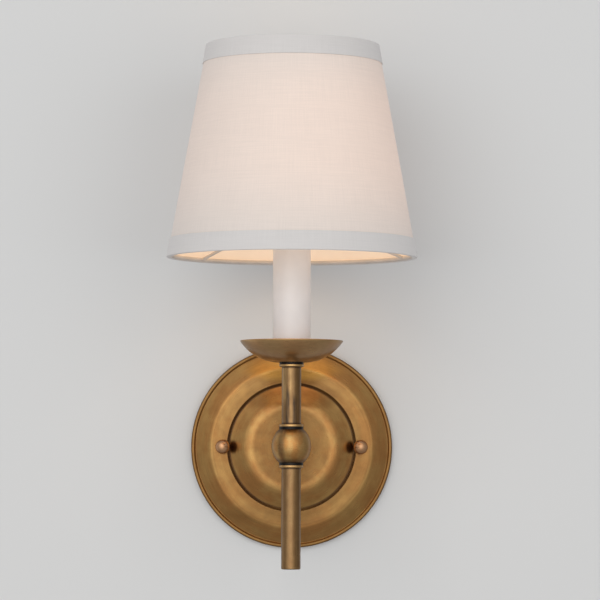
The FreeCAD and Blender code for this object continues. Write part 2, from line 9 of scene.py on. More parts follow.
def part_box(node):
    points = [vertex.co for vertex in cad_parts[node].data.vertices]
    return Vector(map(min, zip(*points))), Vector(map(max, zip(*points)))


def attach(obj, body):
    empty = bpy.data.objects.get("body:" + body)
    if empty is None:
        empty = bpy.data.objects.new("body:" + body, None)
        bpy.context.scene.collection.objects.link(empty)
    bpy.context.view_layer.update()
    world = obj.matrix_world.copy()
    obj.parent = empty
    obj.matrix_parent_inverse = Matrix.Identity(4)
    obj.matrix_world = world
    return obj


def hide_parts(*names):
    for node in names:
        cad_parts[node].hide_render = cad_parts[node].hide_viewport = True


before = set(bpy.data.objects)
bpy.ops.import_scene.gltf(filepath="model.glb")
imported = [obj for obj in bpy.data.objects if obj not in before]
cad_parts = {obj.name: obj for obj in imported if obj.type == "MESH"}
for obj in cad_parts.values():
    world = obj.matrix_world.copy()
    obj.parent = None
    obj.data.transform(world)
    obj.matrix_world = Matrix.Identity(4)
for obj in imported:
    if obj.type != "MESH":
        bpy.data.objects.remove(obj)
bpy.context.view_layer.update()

# Candle wall light with a fabric empire shade, in metres. The wall is the plane y = 0 and the light
# stands out towards -y. Places and outside sizes come from the frame, and the sizes below shape each piece
# between them.
MM = 0.001
UP, DOWN = Vector((0, 0, 1)), Vector((0, 0, -1))
OUT, IN = Vector((0, -1, 0)), Vector((0, 1, 0))

EDGE = 0.12 * MM             # rounding left on a turned edge
FINE_EDGE = 0.04 * MM        # and where two turned pieces meet
SUPPORT = 0.25 * MM          # distance of the extra ring beside a rounding
ARC_STEP = radians(9)        # turn of one face along a rounding
AROUND = 128                 # faces round a turned piece
AROUND_PLATE = 256           # round the plate and the dish
AROUND_SHADE = 288
WIRE_SIDES = 16
BALL_RINGS, NUT_RINGS = 65, 40
DISH_RINGS, DISH_LIP_RINGS = 28, 9
BELLY_RINGS, TIP_RINGS = 20, 10
FABRIC_RINGS, LINER_RINGS = 72, 40

# The plate's face from the rim inwards, as radius, depth off the wall and rounding.
PLATE_WALL = 0.9 * MM
LIP_WIDTH, LIP_DEPTH, LIP_ROUND, LIP_INNER_ROUND = 1.9 * MM, 4.0 * MM, 1.1 * MM, 0.35 * MM
SLOPE_FOOT_R, SLOPE_FOOT_DEPTH, SLOPE_FOOT_ROUND = 62.0 * MM, 3.1 * MM, 0.3 * MM
RIDGE_R, RIDGE_DEPTH, RIDGE_ROUND = 51.6 * MM, 8.9 * MM, 8.0 * MM
BAND_R, BAND_DEPTH, BAND_ROUND = 41.7 * MM, 9.6 * MM, 0.7 * MM
DOME_FOOT_R, DOME_FOOT_DEPTH, DOME_FOOT_ROUND = 40.0 * MM, 8.7 * MM, 0.4 * MM
DOME_SHOULDER_R, DOME_ROUND = 28.6 * MM, 12.0 * MM
PLATE_BORE_PLAY = 0.15 * MM

TUBE_WALL = 0.8 * MM
ROD_PLAY = 0.05 * MM
COLLAR_NECK, DISH_COLLAR_NECK = 1.7 * MM, 1.2 * MM
NECK_SINK = 0.1 * MM          # neck of a collar under its bead
BEAD_SLANT, BEAD_ROUND = 0.15 * MM, 0.3 * MM
BEAD_SHOULDER, BEAD_SHOULDER_ROUND, BEAD_FACE = 0.35 * MM, 0.5 * MM, 0.9 * MM
SEAT_EDGE = 0.1 * MM          # flat left round a collar on the ball and under the dish
DISH_WALL, DISH_RISE = 0.8 * MM, 13.3 * MM
NUT_NECK_R, NUT_NECK = 3.2 * MM, 1.0 * MM
SLEEVE_WALL, SLEEVE_ROUND = 1.0 * MM, 0.35 * MM

BULB_TIP_R, BULB_NECK_R = 3.0 * MM, 6.6 * MM
BULB_NECK_Z, BULB_BELLY_Z = 2.6 * MM, 32.8 * MM    # above the cap's rim
BULB_SKIRT = 3.0 * MM         # glass held inside the cap
CAP_INSET = 0.35 * MM         # that glass inside the cap's outside

FABRIC_T, LINER_T, TRIM_T, GLUE = 0.5 * MM, 0.6 * MM, 0.5 * MM, 0.04 * MM
LINER_PLAY = 0.02 * MM        # on each face of the liner
COVER_WAVE, SEAM_T = 0.10 * MM, 0.3 * MM
SEAM_TURN, SEAM_LAP = radians(90), 10 * MM
TRIM_CORNER, TRIM_EDGE_ROUND, TRIM_FOLD_ROUND, TRIM_END_ROUND = 0.1 * MM, 0.22 * MM, 0.42 * MM, 0.2 * MM
WEAVE_PITCH = 0.42 * MM

FRAME_WIRE_R = 1.2 * MM
ARM_R, ARM_BEND_R, ARM_BEND_ROUND = 1.0 * MM, 34.0 * MM, 12.0 * MM
ARM_BEND_RISE = 0.36          # slope of the long outer run
ARM_AZIMUTHS = (-50.0, 70.0, 190.0)   # from straight back, clockwise seen from above
ARM_WELD_LAP, ARM_WELD_STAND = 0.8 * MM, 0.1 * MM   # over the fitter ring, and above it
FITTER_BORE, FITTER_ROUND = 9.8 * MM, 0.3 * MM
TURNING_GAP = 0.03 * MM       # under the fitter ring, which turns on the sleeve's top edge

STAGE = 3.0
FLOOR_Z = -0.45
WALL_Y = 0.2 * MM
LIGHT_AIM_Z = 0.08
CAMERA = Vector((0.0051, -2.075, -0.0152))
PITCH, ROLL = radians(93.0525), radians(0.2)
SENSOR, LENS = 36.0, 192.0    # millimetres, as the camera takes them


# ---- where things are
def span(node, axis):
    """The lowest and highest coordinate of a node along axis 0, 1 or 2."""
    low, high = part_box(node)
    return low[axis], high[axis]


def half_width(node):
    """Half of a node's width along x: the radius of a turned piece."""
    low, high = span(node, 0)
    return (high - low) / 2


LAMP_Y = sum(span("candle_sleeve", 1)) / 2
PLATE_FRONT = -span("backplate", 1)[0]
PLATE_R = half_width("backplate")
TUBE_R = half_width("upper_tube")
ROD_R = half_width("upper_rod") + ROD_PLAY
BEAD_R = half_width("upper_collar")
BALL_R = half_width("centre_ball")
BALL_END = span("centre_ball", 2)[1]
NUT_X = sum(span("right_ball_nut", 0)) / 2
NUT_R = half_width("right_ball_nut")
SHADE_LOW, SHADE_HIGH = span("shade_fabric", 2)
SHADE_LOW_R = half_width("shade_fabric")
SHADE_H = SHADE_HIGH - SHADE_LOW
SLOPE = ((half_width("top_ring") - half_width("bottom_ring"))
         / (span("top_ring", 2)[0] - span("bottom_ring", 2)[0]))
SHADE_MEAN_R = SHADE_LOW_R + SLOPE * SHADE_H / 2
GLOW_Z = SHADE_LOW + SHADE_H * 0.55
BULB_Z = sum(span("bulb_glass", 2)) / 2
STEM_FOOT = Vector((0, LAMP_Y, 0))


def at_height(z):
    """The point of the lamp's axis at a height."""
    return STEM_FOOT + UP * z


# ---- numpy shapes
def unit(vector):
    """A vector over its own length."""
    return vector / np.linalg.norm(vector)


def rounded(points, closed=True):
    """A profile through (radius, height, corner radius) points. Each corner becomes the arc tangent to its
    two runs, centred on their bisector at radius / sin(half angle), and each long run gets a support
    point near both ends so that flat faces shade flat."""
    corners = np.array([point[:2] for point in points], float)
    radii = [point[2] for point in points]
    groups = []
    for i, here in enumerate(corners):
        end_point = not closed and i in (0, len(corners) - 1)
        if end_point or radii[i] <= 0:
            groups.append(here[None])
            continue
        back, on = unit(corners[i - 1] - here), unit(corners[(i + 1) % len(corners)] - here)
        half = acos(float(np.clip(back @ on, -1, 1))) / 2
        centre = here + unit(back + on) * radii[i] / sin(half)
        start, end = here + back * radii[i] / tan(half), here + on * radii[i] / tan(half)
        first = atan2(start[1] - centre[1], start[0] - centre[0])
        last = atan2(end[1] - centre[1], end[0] - centre[0])
        sweep = (last - first + pi) % (2 * pi) - pi
        turns = first + sweep * np.linspace(0, 1, max(5, int(abs(sweep) / ARC_STEP) + 2))
        groups.append(centre + radii[i] * np.stack([np.cos(turns), np.sin(turns)], 1))
    profile = []
    for i, group in enumerate(groups):
        profile.append(group)
        if i == len(groups) - 1 and not closed:
            break
        start, end = group[-1], groups[(i + 1) % len(groups)][0]
        length = np.linalg.norm(end - start)
        if length > 4 * SUPPORT:
            way = (end - start) / length * SUPPORT
            profile.append(np.array([start + way, end - way]))
    profile = np.concatenate(profile)
    following = np.roll(profile, -1, axis=0) if closed else np.concatenate([profile[1:], profile[:1] - 1])
    return profile[np.linalg.norm(following - profile, axis=1) > 1e-7]


def walled(points, wall):
    """The closed outline of a sheet: its face points, then its back, one wall to the right of their way."""
    back = []
    for i, (r, h, bend) in enumerate(points):
        ways = [unit(np.subtract(points[k + 1][:2], points[k][:2])) for k in (i - 1, i)
                if 0 <= k < len(points) - 1]
        normals = [np.array([way[1], -way[0]]) for way in ways]
        mean = unit(sum(normals))
        shift = mean * wall / (mean @ normals[0])
        left_turn = len(ways) == 2 and ways[0][0] * ways[1][1] - ways[0][1] * ways[1][0] > 0
        if bend:
            bend = bend + wall if left_turn else max(bend - wall, bend * 0.3)
        back.append((r + shift[0], h + shift[1], bend))
    return list(points) + back[::-1]


def skin(name, points, close_rows, close_columns, across=None, along=None):
    """A mesh of quads over a grid of points, with its doubles merged and its faces outwards. across and
    along, in metres, become the UV map of the grid's columns and rows."""
    rows, columns = points.shape[:2]
    row_steps = rows if close_rows else rows - 1
    column_steps = columns if close_columns else columns - 1
    i, j = np.meshgrid(np.arange(row_steps), np.arange(column_steps), indexing="ij")
    i, j = i.ravel(), j.ravel()
    i_next, j_next = (i + 1) % rows, (j + 1) % columns
    faces = np.stack([i * columns + j, i * columns + j_next, i_next * columns + j_next,
                      i_next * columns + j], 1)
    mesh = bpy.data.meshes.new(name)
    mesh.from_pydata(points.reshape(-1, 3).tolist(), [], faces.tolist())
    if across is not None:
        u = np.stack([across[j], across[j + 1], across[j + 1], across[j]], 1)
        v = np.stack([along[i], along[i], along[i + 1], along[i + 1]], 1)
        layer = mesh.uv_layers.new(name="cloth")
        layer.data.foreach_set("uv", np.stack([u, v], 2).ravel())
    made = bmesh.new()
    made.from_mesh(mesh)
    bmesh.ops.remove_doubles(made, verts=made.verts, dist=1e-7)
    bmesh.ops.recalc_face_normals(made, faces=made.faces)
    made.to_mesh(mesh)
    made.free()
    mesh.shade_smooth()
    mesh.set_sharp_from_angle(angle=radians(45))
    piece = bpy.data.objects.new(name, mesh)
    bpy.context.scene.collection.objects.link(piece)
    return piece


def turned_points(profile, seat, direction, around):
    """Profile point (r, h) at turn u lies at seat + h * direction + r * (cos u * side + sin u * other)."""
    side = Vector((1, 0, 0))
    other = direction.cross(side)
    turns = np.linspace(0, 2 * pi, around, endpoint=False)[:, None]
    spoke = np.cos(turns) * np.array(side) + np.sin(turns) * np.array(other)
    profile = np.asarray(profile)[:, :, None, None]
    return np.array(seat) + profile[:, 1] * np.array(direction) + profile[:, 0] * spoke


def turned(name, outline, seat, direction=UP, around=AROUND):
    """A lathe piece from its closed half section of (radius, height, corner radius) points."""
    return skin(name, turned_points(rounded(outline), seat, direction, around), True, True)


def wire(name, path, radius, steady, closed):
    """A round wire: around each path point, radius * (cos a * steady + sin a * tangent x steady). An open
    path gets flat ends."""
    tangents = np.roll(path, -1, 0) - np.roll(path, 1, 0) if closed else np.gradient(path, axis=0)
    tangents /= np.linalg.norm(tangents, axis=1)[:, None]
    steady = np.broadcast_to(steady, path.shape)
    other = np.cross(tangents, steady)
    turns = np.linspace(0, 2 * pi, WIRE_SIDES, endpoint=False)
    girth = np.full(len(path), radius)
    if not closed:
        path = np.concatenate([path[:1], path, path[-1:]])
        steady, other = (np.concatenate([a[:1], a, a[-1:]]) for a in (steady, other))
        girth = np.concatenate([[0], girth, [0]])
    ring = np.cos(turns)[None, :, None] * steady[:, None] + np.sin(turns)[None, :, None] * other[:, None]
    return skin(name, path[:, None] + girth[:, None, None] * ring, closed, True)


# ---- shader maths
class Link:
    """A node's output. Arithmetic on it adds Math nodes and gives a new Link."""

    def __init__(self, finish, socket):
        self.finish, self.socket = finish, socket

    def __add__(self, other):
        return self.finish.maths("ADD", self, other)

    def __sub__(self, other):
        return self.finish.maths("SUBTRACT", self, other)

    def __rsub__(self, other):
        return self.finish.maths("SUBTRACT", other, self)

    def __mul__(self, other):
        return self.finish.maths("MULTIPLY", self, other)

    def __truediv__(self, other):
        return self.finish.maths("DIVIDE", self, other)

    def __pow__(self, other):
        return self.finish.maths("POWER", self, other)

    def __abs__(self):
        return self.finish.maths("ABSOLUTE", self)

    __radd__, __rmul__ = __add__, __mul__


class Finish:
    """A material, or the world, with its node tree."""

    def __init__(self, owner):
        self.owner = owner
        owner.use_nodes = True
        self.tree = owner.node_tree
        self.tree.nodes.clear()

    def add(self, kind, settings=None, values=None, output=0):
        """A node of a kind. Its settings are set first, with "stops" for a ramp's (place, colour) pairs,
        then its sockets, by name or number, from plain values or Links."""
        node = self.tree.nodes.new(kind)
        for key, value in (settings or {}).items():
            if key == "stops":
                ramp = node.color_ramp
                while len(ramp.elements) < len(value):
                    ramp.elements.new(0.5)
                for element, (place, colour) in zip(ramp.elements, value):
                    element.position = place
                    element.color = (*colour, 1)
            else:
                setattr(node, key, value)
        for key, value in (values or {}).items():
            if isinstance(value, Link):
                self.tree.links.new(value.socket, node.inputs[key])
            else:
                node.inputs[key].default_value = value
        return Link(self, node.outputs[output]) if len(node.outputs) else node

    def maths(self, operation, *values):
        """One Math node on numbers or Links."""
        return self.add("ShaderNodeMath", {"operation": operation}, dict(enumerate(values)))

    def place(self):
        """The point in the object's own metres, which every piece shares with the frame."""
        return self.add("ShaderNodeTexCoord", output="Object")

    def parts(self, vector):
        """The x, y and z of a vector."""
        split = self.add("ShaderNodeSeparateXYZ", values={0: vector}).socket.node
        return [Link(self, socket) for socket in split.outputs]

    def about(self, direction):
        """About the line that a piece was turned on: radius, distance along, and the spoke's two parts."""
        x, y, z = self.parts(self.place())
        if direction.z:
            other, along = y - LAMP_Y, z * direction.z
        else:
            other, along = z, y * direction.y
        radius = (x * x + other * other) ** 0.5
        return radius, along, x / radius, other / radius

    def joined(self, x, y, z):
        """A vector from its three parts."""
        return self.add("ShaderNodeCombineXYZ", values={0: x, 1: y, 2: z})

    def scaled(self, vector, scale):
        """A vector times another, part by part."""
        return self.add("ShaderNodeVectorMath", {"operation": "MULTIPLY"}, {0: vector, 1: scale})

    def noise(self, vector, scale, detail=3.0, roughness=0.5):
        """Clouds around 0.5, with a scale of spots per metre of the vector."""
        return self.add("ShaderNodeTexNoise", values={"Vector": vector, "Scale": scale, "Detail": detail,
                                                      "Roughness": roughness})

    def step(self, value, low, high, from_value=0.0, to_value=1.0):
        """Smoothly from one value to another as the input goes from low to high."""
        return self.add("ShaderNodeMapRange", {"interpolation_type": "SMOOTHSTEP"},
                        {0: value, 1: low, 2: high, 3: from_value, 4: to_value})

    def band(self, value, low, high, soft):
        """1 between low and high, fading to 0 over a softness on both sides."""
        return self.step(value, low - soft, low) * self.step(value, high, high + soft, 1, 0)

    def mix(self, share, first, second, blend="MIX"):
        """Between two colours."""
        colours = [c if isinstance(c, Link) else (*c, 1) for c in (first, second)]
        return self.add("ShaderNodeMix", {"data_type": "RGBA", "blend_type": blend},
                        {0: share, 6: colours[0], 7: colours[1]}, output=2)

    def shaded(self, colour, tone):
        """A colour made lighter or darker by a tone around 1."""
        return self.mix(1.0, colour, self.joined(tone, tone, tone), "MULTIPLY")

    def bump(self, height, distance, strength=1.0):
        """A normal from a height field whose 1 stands a distance high."""
        return self.add("ShaderNodeBump", values={"Height": height, "Distance": distance,
                                                  "Strength": strength})

    def surface(self, **sockets):
        """The Principled shader, its sockets by name with _ for a space."""
        values = {key.replace("_", " "): value for key, value in sockets.items()}
        values = {key: (*value, 1) if isinstance(value, tuple) and len(value) == 3 else value
                  for key, value in values.items()}
        return self.add("ShaderNodeBsdfPrincipled", values=values)

    def done(self, shader):
        """Ends the tree and gives the material."""
        self.add("ShaderNodeOutputMaterial", values={"Surface": shader})
        return self.owner


def finish(name):
    """A new material to be filled in."""
    return Finish(bpy.data.materials.new(name))


# ---- metals
GOLD = (0.50, 0.290, 0.095)
BROWN = (0.45, 0.215, 0.064)
WASH = (0.165, 0.080, 0.019)
PATINA = (0.055, 0.026, 0.012)
# Dark reflections painted on the fronts of the upper tube and the ball.
DARK_REFLECTION = (0.050, 0.036, 0.028)
# Painted shade on the collars' necks.
NECK_SHADE_BLACK = (0.012, 0.008, 0.006)
DISH_GOLD, DISH_BROWN = (0.53, 0.330, 0.150), (0.50, 0.285, 0.125)
TUBE_GOLD, TUBE_BROWN = (0.29, 0.172, 0.072), (0.25, 0.140, 0.058)
BALL_GOLD, BALL_BROWN = (0.47, 0.285, 0.100), (0.43, 0.205, 0.058)
# Painted highlights on the collars' beads, the dish's rim and the upper tube.
PAINTED_HIGHLIGHT = (0.56, 0.36, 0.155)
# A warm reflection of the lit shade, painted on the plate's top.
WARM_REFLECTION = (0.66, 0.37, 0.085)
COPPER, DARK_COPPER = (0.60, 0.345, 0.19), (0.52, 0.285, 0.145)
ZINC = (0.62, 0.62, 0.60)


def antique_brass(name, direction, bands=(), by="along", brushed="round", tones=(GOLD, BROWN), marks=(),
                  painted_runs=()):
    """Lacquered brass with a brown wash, turned or drawn along a direction. Each band is (from, to,
    softness, share, colour) by its radius or its distance along: dark ones lie in the grooves and hold
    patina, some stand for painted shade, and bright ones on the high places are painted highlights. marks
    are soft spots of painted shade and painted reflection, (x, z, half width, half height, share, colour),
    and painted_runs are painted reflections and shade in runs on the front, (from, to) across as a share of
    the radius and (from, to, share, colour) along. Noise scales are spots a metre, or a radius where they
    go round the piece."""
    brass = finish(name)
    radius, along, cos_u, sin_u = brass.about(direction)
    where = {"radius": radius, "along": along}[by]
    drawn = {"round": brass.joined(where * 1500, cos_u * 5, sin_u * 5),
             "long": brass.joined(along * 30, cos_u * 18, sin_u * 18)}[brushed]
    streak = brass.noise(drawn, 1.0, 3, 0.6)
    wash = brass.noise(brass.joined(where * 120, cos_u * 2.2, sin_u * 2.2), 1.0, 3, 0.55)
    cloud = brass.noise(brass.place(), 150, 4, 0.6)
    speck = brass.noise(brass.place(), 1300, 2)
    colour = brass.mix(brass.step(wash + cloud * 0.15, 0.42, 0.72), *tones)
    roughness = brass.step(cloud, 0.3, 0.7, 0.28, 0.36) + (streak - 0.5) * 0.12
    # Painted reflections and shade, in runs on the front only.
    for left, right, low, high, share, tint in painted_runs:
        uneven = brass.noise(brass.joined(along * 90, cos_u * 4, sin_u * 4), 1.0, 3, 0.55)
        run = brass.band(cos_u, left, right, 0.15) * brass.band(along, low, high, 8 * MM)
        facing = brass.step(sin_u, -0.3, 0.1, 1.0, 0.0) * brass.step(uneven, 0.3, 0.6, 0.35, 1.0)
        colour = brass.mix(run * facing * share, colour, tint)
    for low, high, soft, share, tint in bands:
        mask = brass.band(where, low, high, soft) * share
        colour = brass.mix(mask, colour, tint)
        roughness = roughness + mask * (0.15 if tint[0] < WASH[0] else 0.0)
    # Painted spots of shade and reflection.
    for mark_x, mark_z, half_x, half_z, share, tint in marks:
        x, _, z = brass.parts(brass.place())
        off = (((x - mark_x) * (1 / half_x)) ** 2.0 + ((z - mark_z) * (1 / half_z)) ** 2.0) ** 0.5
        colour = brass.mix(brass.step(off, 0.55, 1.25, share, 0), colour, tint)
    tone = (brass.step(cloud, 0.3, 0.75, 1.04, 0.93) * brass.step(streak, 0.25, 0.75, 0.93, 1.07)
            * brass.step(speck, 0.64, 0.76, 1.0, 0.80))
    normal = brass.bump(streak + cloud * 0.5, 0.02 * MM, 0.5)
    return brass.done(brass.surface(Base_Color=brass.shaded(colour, tone), Metallic=1.0, Roughness=roughness,
                                    Coat_Weight=0.3, Coat_Roughness=0.16, Normal=normal))


def plain_metal(name, colour, roughness, thread=0.0, thread_axis=2):
    """Plated steel or strip: soft clouds, fine scratches and, on threads, ridges along one axis."""
    metal = finish(name)
    place = metal.place()
    cloud = metal.noise(place, 90, 3)
    scratch = metal.noise(metal.scaled(place, (300, 2600, 2600)), 1.0, 2)
    dull = metal.mix(metal.step(cloud, 0.35, 0.7), colour, tuple(c * 0.78 for c in colour))
    bumps = scratch * 0.3 + cloud * 0.5
    if thread:
        bumps = bumps + metal.maths("SINE", metal.parts(place)[thread_axis] * (2 * pi / thread)) * 4.0
    return metal.done(metal.surface(Base_Color=dull, Metallic=1.0,
                                    Roughness=metal.step(cloud, 0.3, 0.7, roughness, roughness + 0.12),
                                    Normal=metal.bump(bumps, 0.03 * MM, 0.6)))


def copper_polish(name):
    """The reddish polish of the ball nuts."""
    metal = finish(name)
    cloud = metal.noise(metal.place(), 220, 3)
    colour = metal.mix(metal.step(cloud, 0.35, 0.7), COPPER, DARK_COPPER)
    return metal.done(metal.surface(Base_Color=colour, Metallic=1.0,
                                    Roughness=metal.step(cloud, 0.3, 0.7, 0.28, 0.38),
                                    Normal=metal.bump(cloud, 0.02 * MM, 0.3)))


# ---- cloth, plastics and glass
# Glows painted on the cover and the liner for the lamp's light through them.
COVER_WHITE, COVER_GLOW = (0.655, 0.617, 0.580), (0.210, 0.100, 0.048)
TRIM_WHITE = (0.63, 0.61, 0.595)
LINER_WHITE, LINER_GLOW = (0.62, 0.58, 0.53), (0.45, 0.30, 0.185)
WIRE_GREY = (0.66, 0.60, 0.54)
SLEEVE_WHITE = (0.755, 0.745, 0.75)
GLASS_WHITE, GLASS_GLOW = (0.50, 0.47, 0.43), (0.64, 0.50, 0.34)
SLUBS_ACROSS, SLUBS_ALONG = 1500, 45     # a metre, across and along a thread
PATCHES = 30                             # a metre


def linen(name, colour, glow):
    """Plain weave on the cloth UV map: crossed ridges at the thread pitch, long slubs both ways, and the
    lamp's light through it painted on as a warm glow that fades towards both edges and round to the dim
    side."""
    cloth = finish(name)
    u, v, _ = cloth.parts(cloth.add("ShaderNodeUVMap", {"uv_map": "cloth"}))
    turn = 2 * pi / WEAVE_PITCH
    weave = cloth.maths("SINE", u * turn) * cloth.maths("SINE", v * turn)
    upright = cloth.noise(cloth.joined(u * SLUBS_ACROSS, v * SLUBS_ALONG, 0), 1.0, 3, 0.6)
    level = cloth.noise(cloth.joined(u * SLUBS_ALONG, v * SLUBS_ACROSS, 3.7), 1.0, 3, 0.6)
    slub = (upright + level) * 0.5
    patch = cloth.noise(cloth.joined(u * PATCHES, v * PATCHES, 1.3), 1.0, 3, 0.55)
    tone = cloth.step(slub, 0.36, 0.64, 0.975, 1.02) * cloth.step(patch, 0.3, 0.7, 0.99, 1.01)
    normal = cloth.bump(weave * 0.5 + slub * 1.2, 0.05 * MM, 0.5)
    sockets = {"Base_Color": cloth.shaded(colour, tone), "Roughness": 0.85, "Sheen_Weight": 0.15,
               "Normal": normal}
    if glow:
        # The painted glow: weaker up and down from its middle, to the left and towards the wall.
        x, y, z = cloth.parts(cloth.place())
        up_down = cloth.step(abs(z - GLOW_Z), 0.012, 0.085, 1.0, 0.20)
        side = cloth.step(x, -0.075, 0.03, 0.60, 1.0)
        back = cloth.step(y, LAMP_Y - 0.02, LAMP_Y + 0.05, 1.0, 0.8)
        share = up_down * side * back * cloth.step(slub, 0.36, 0.64, 0.95, 1.05)
        sockets["Emission_Color"] = cloth.mix(share, (0, 0, 0), glow)
        sockets["Emission_Strength"] = 1.0
    return cloth.done(cloth.surface(**sockets))


def lit_liner(name):
    """Translucent styrene, painted warm and bright as with the lamp on, most so beside the bulb."""
    liner = finish(name)
    place = liner.place()
    z = liner.parts(place)[2]
    near = liner.step(abs(z - BULB_Z), 0.0, 0.09, 1.0, 0.85)
    grain = liner.noise(place, 260, 2)
    glow = liner.mix(near * liner.step(grain, 0.3, 0.7, 0.97, 1.03), (0, 0, 0), LINER_GLOW)
    return liner.done(liner.surface(Base_Color=LINER_WHITE, Roughness=0.55, Emission_Color=glow,
                                    Emission_Strength=1.0, Normal=liner.bump(grain, 0.02 * MM, 0.3)))


def satin_plastic(name, colour, roughness, wear=0.06):
    """Moulded plastic: faint mottle and long drawn marks."""
    plastic = finish(name)
    place = plastic.place()
    mottle = plastic.noise(place, 60, 3)
    drawn = plastic.noise(plastic.scaled(place, (500, 500, 12)), 1.0, 2)
    toned = plastic.mix(plastic.step(mottle, 0.35, 0.7), colour, tuple(c * (1 - wear) for c in colour))
    rough = plastic.step(drawn, 0.3, 0.7, roughness - 0.04, roughness + 0.06)
    return plastic.done(plastic.surface(Base_Color=toned, Roughness=rough, Coat_Weight=0.08,
                                        Normal=plastic.bump(mottle + drawn, 0.03 * MM, 0.35)))


def frosted_glass(name):
    """Frosted bulb, lit from within and brightest in the middle of its height."""
    glass = finish(name)
    place = glass.place()
    z = glass.parts(place)[2]
    middle = glass.step(abs(z - BULB_Z), 0.005, 0.04, 1.0, 0.62)
    frost = glass.noise(place, 900, 2)
    glow = glass.mix(middle, (0, 0, 0), GLASS_GLOW)
    return glass.done(glass.surface(Base_Color=GLASS_WHITE, Roughness=0.45, Emission_Color=glow,
                                    Emission_Strength=1.0, Normal=glass.bump(frost, 0.01 * MM, 0.4)))


# ---- pieces
def carry(piece, body, node, material):
    """Puts a made piece in a node's place on its body and finish."""
    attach(piece, body)
    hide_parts(node)
    piece.data.materials.clear()
    piece.data.materials.append(material)
    return piece


PLATE_FACE = [
    (PLATE_R, 0, FINE_EDGE),
    (PLATE_R, LIP_DEPTH, LIP_ROUND),
    (PLATE_R - LIP_WIDTH, LIP_DEPTH, LIP_INNER_ROUND),
    (SLOPE_FOOT_R, SLOPE_FOOT_DEPTH, SLOPE_FOOT_ROUND),
    (RIDGE_R, RIDGE_DEPTH, RIDGE_ROUND),
    (BAND_R, BAND_DEPTH, BAND_ROUND),
    (DOME_FOOT_R, DOME_FOOT_DEPTH, DOME_FOOT_ROUND),
    (DOME_SHOULDER_R, PLATE_FRONT, DOME_ROUND),
    (ROD_R + PLATE_BORE_PLAY, PLATE_FRONT, FINE_EDGE),
]

# The plate's wash and patina by radius: from, to and softness in millimetres, share, colour.
PLATE_BANDS = [
    (0.0, 23.0, 3.5, 0.68, WASH),        # the flat middle
    (26.0, 29.5, 3.0, 0.25, WASH),       # the dome's shoulder
    (32.0, 36.5, 3.0, 0.22, WASH),       # the dome's side
    (42.0, 44.5, 2.5, 0.26, WASH),       # inner part of the flat band, painted shade beside the ring groove
    (42.5, 50.5, 1.5, 0.56, WASH),       # the whole flat band
    (52.8, 55.0, 1.8, 0.24, WASH),       # the slope under the ridge
    (56.8, 61.5, 2.0, 0.32, WASH),       # foot of the slope
    (63.0, 66.0, 0.4, 0.82, WASH),       # the lip
    (40.0, 41.3, 0.9, 0.85, PATINA),     # the ring groove
    (61.9, 62.5, 0.4, 0.20, PATINA),     # the groove behind the lip
]
# Painted spots on the plate: x and z, half width and half height in millimetres, share, colour.
PLATE_PAINTED_SPOTS = [
    # Painted shade on the dome's upper flanks under the dish, left and right.
    (-19, 31.5, 13, 7, 0.40, WASH),
    (19, 31.5, 13, 7, 0.40, WASH),
    # Painted shade across the plate's lower part.
    (-9, -43, 34, 7, 0.34, WASH),
    # A warm reflection of the lit shade, painted at the plate's top.
    (0, 50, 32, 7, 0.50, WARM_REFLECTION),
]
NUT_REFLECTION_OFF, NUT_REFLECTION_HALF = 2.3 * MM, (2.6 * MM, 4.3 * MM)   # painted dark reflection of each nut, beside it, inwards


def make_backplate():
    """The spun plate: a lip, a groove, a slope up to a ridge, a flat band, a groove and a domed middle."""
    bands = [(low * MM, high * MM, soft * MM, share, tint) for low, high, soft, share, tint in PLATE_BANDS]
    # Each ball nut's dark reflection, painted beside it on the plate in the patina colour.
    marks = [(side * (NUT_X - NUT_R - NUT_REFLECTION_OFF), 0.0, *NUT_REFLECTION_HALF, 0.88, PATINA)
             for side in (-1, 1)]
    marks += [(x * MM, z * MM, half_x * MM, half_z * MM, share, tint)
              for x, z, half_x, half_z, share, tint in PLATE_PAINTED_SPOTS]
    brass = antique_brass("plate_brass", OUT, bands, by="radius", marks=marks)
    plate = turned("backplate_spun", walled(PLATE_FACE[::-1], PLATE_WALL), Vector(), OUT, AROUND_PLATE)
    return carry(plate, "fixture", "backplate", brass)


def make_collar(node, seat, direction, neck=COLLAR_NECK):
    """A turned collar: neck painted black as shade, bead painted bright as a highlight, far end dark."""
    low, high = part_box(node)
    length = abs((high - low).dot(direction))
    neck_r = BEAD_R - NECK_SINK
    outline = [(ROD_R, 0, 0), (neck_r, 0, EDGE), (neck_r, neck, EDGE),
               (BEAD_R, neck + BEAD_SLANT, BEAD_ROUND),
               (BEAD_R, length - BEAD_SHOULDER, BEAD_SHOULDER_ROUND),
               (BEAD_R - BEAD_FACE, length, EDGE), (ROD_R, length, 0)]
    start = seat.dot(direction)
    # Painted shade on the neck, a painted highlight on the bead, and the far end dark.
    bands = [(start - MM, start + neck, 0.12 * MM, 1.0, NECK_SHADE_BLACK),
             (start + neck + 0.2 * MM, start + length - 0.5 * MM, 0.2 * MM, 0.7, PAINTED_HIGHLIGHT),
             (start + length - 0.2 * MM, start + length + MM, 0.2 * MM, 0.8, PATINA)]
    brass = antique_brass(node + "_brass", direction, bands)
    return carry(turned(node + "_turned", outline, seat, direction), "fixture", node, brass)


